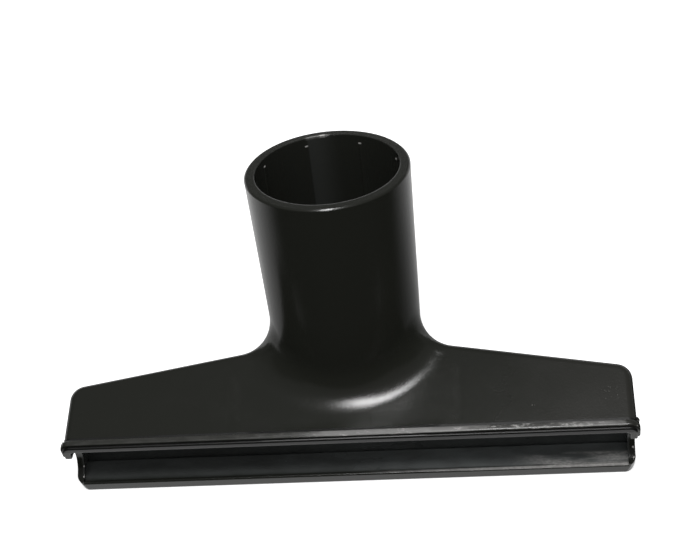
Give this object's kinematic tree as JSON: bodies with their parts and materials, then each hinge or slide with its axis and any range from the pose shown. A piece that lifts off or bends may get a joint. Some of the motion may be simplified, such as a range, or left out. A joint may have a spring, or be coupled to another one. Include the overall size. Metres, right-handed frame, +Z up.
{
  "type": "vacuum nozzle",
  "caption": "Flat wide upholstery nozzle for a vacuum cleaner: a hollow head with a slot mouth and a tilted round push-fit tube for the hose end.",
  "frame": {"origin": "on the flat base, in the plane of symmetry, where the axis of the hose tube meets the base", "axes": "+X along the wide mouth, -Y the way the mouth looks, +Z up from the flat base"},
  "size_m": [0.142, 0.0752, 0.0645],
  "materials": {
    "shell": "satin black moulded plastic with light scuffs"
  },
  "bodies": {
    "root": {"nozzle": "shell"}
  },
  "joints": []
}
